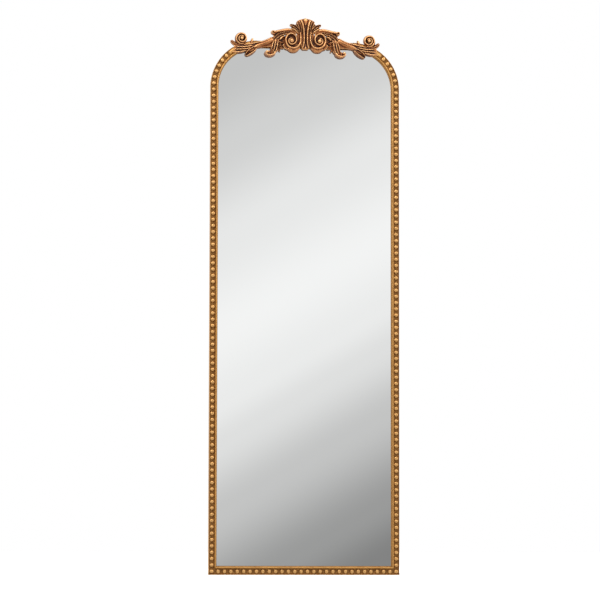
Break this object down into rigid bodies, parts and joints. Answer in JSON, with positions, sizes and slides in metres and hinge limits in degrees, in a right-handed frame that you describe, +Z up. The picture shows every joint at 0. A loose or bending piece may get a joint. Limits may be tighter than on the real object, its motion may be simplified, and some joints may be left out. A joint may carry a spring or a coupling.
{
  "type": "leaning floor mirror",
  "caption": "Tall arched floor mirror in a beaded gilt frame with a carved crest, rubber wall bumpers, a board held by turn buttons and hangers on the back.",
  "frame": {"origin": "centre of the overall box at the floor, under the middle of the bottom rail", "axes": "+Z up along the height, -Y out of the mirror's face towards the room, +X to the right seen from the front"},
  "size_m": [0.559, 0.0412, 1.636],
  "materials": {
    "gilt_moulding": "antiqued gold leaf over a wood moulding, satin, dark in the hollows",
    "antique_gilt_casting": "resin casting in antiqued reddish gold, satin, very dark in the hollows",
    "silvered_glass": "plain silvered float glass, no bevel",
    "fibreboard": "bare medium density fibreboard",
    "foam_tape": "white closed-cell foam",
    "zinc_steel": "zinc-plated pressed steel",
    "bumper_rubber": "black moulded rubber"
  },
  "bodies": {
    "frame": {"bottom_rail": "gilt_moulding", "top_rail": "gilt_moulding", "left_stile": "gilt_moulding", "right_stile": "gilt_moulding", "left_corner": "gilt_moulding", "right_corner": "gilt_moulding", "mirror_glass": "silvered_glass", "backing_board": "fibreboard", "crest_palmette": "antique_gilt_casting", "left_c_scroll": "antique_gilt_casting", "right_c_scroll": "antique_gilt_casting", "left_acanthus": "antique_gilt_casting", "right_acanthus": "antique_gilt_casting", "left_branch": "antique_gilt_casting", "right_branch": "antique_gilt_casting", "left_foam_strip": "foam_tape", "right_foam_strip": "foam_tape", "lower_foam_strip": "foam_tape", "upper_foam_strip": "foam_tape", "left_corner_plate": "zinc_steel", "right_corner_plate": "zinc_steel", "left_button_screw_1": "zinc_steel", "left_button_screw_2": "zinc_steel", "left_button_screw_3": "zinc_steel", "right_button_screw_1": "zinc_steel", "right_button_screw_2": "zinc_steel", "right_button_screw_3": "zinc_steel", "left_strap_hanger": "zinc_steel", "right_strap_hanger": "zinc_steel", "left_strap_screw_1": "zinc_steel", "left_strap_screw_2": "zinc_steel", "right_strap_screw_1": "zinc_steel", "right_strap_screw_2": "zinc_steel", "left_stile_joint_plate": "zinc_steel", "right_stile_joint_plate": "zinc_steel", "left_rail_joint_plate": "zinc_steel", "right_rail_joint_plate": "zinc_steel", "left_lower_bumper": "bumper_rubber", "right_lower_bumper": "bumper_rubber", "left_upper_bumper": "bumper_rubber", "right_upper_bumper": "bumper_rubber"},
    "left_button_1": {"left_turn_button_1": "zinc_steel"},
    "left_button_2": {"left_turn_button_2": "zinc_steel"},
    "left_button_3": {"left_turn_button_3": "zinc_steel"},
    "right_button_1": {"right_turn_button_1": "zinc_steel"},
    "right_button_2": {"right_turn_button_2": "zinc_steel"},
    "right_button_3": {"right_turn_button_3": "zinc_steel"},
    "left_ring": {"left_d_ring": "zinc_steel"},
    "right_ring": {"right_d_ring": "zinc_steel"}
  },
  "joints": [
    {"name": "left_button_1_turn", "type": "hinge", "parent": "frame", "child": "left_button_1", "pos_m": [-0.271, 0.0154, 0.19], "axis": [0, 1, 0], "range_deg": [-90, 90]},
    {"name": "left_button_2_turn", "type": "hinge", "parent": "frame", "child": "left_button_2", "pos_m": [-0.271, 0.0154, 0.714], "axis": [0, 1, 0], "range_deg": [-90, 90]},
    {"name": "left_button_3_turn", "type": "hinge", "parent": "frame", "child": "left_button_3", "pos_m": [-0.271, 0.0154, 1.238], "axis": [0, 1, 0], "range_deg": [-90, 90]},
    {"name": "right_button_1_turn", "type": "hinge", "parent": "frame", "child": "right_button_1", "pos_m": [0.271, 0.0154, 0.19], "axis": [0, 1, 0], "range_deg": [-90, 90]},
    {"name": "right_button_2_turn", "type": "hinge", "parent": "frame", "child": "right_button_2", "pos_m": [0.271, 0.0154, 0.714], "axis": [0, 1, 0], "range_deg": [-90, 90]},
    {"name": "right_button_3_turn", "type": "hinge", "parent": "frame", "child": "right_button_3", "pos_m": [0.271, 0.0154, 1.238], "axis": [0, 1, 0], "range_deg": [-90, 90]},
    {"name": "left_ring_swing", "type": "hinge", "parent": "frame", "child": "left_ring", "pos_m": [-0.271, 0.0173, 1.318], "axis": [1, 0, 0], "range_deg": [-8, 150]},
    {"name": "right_ring_swing", "type": "hinge", "parent": "frame", "child": "right_ring", "pos_m": [0.271, 0.0173, 1.318], "axis": [1, 0, 0], "range_deg": [-8, 150]}
  ]
}
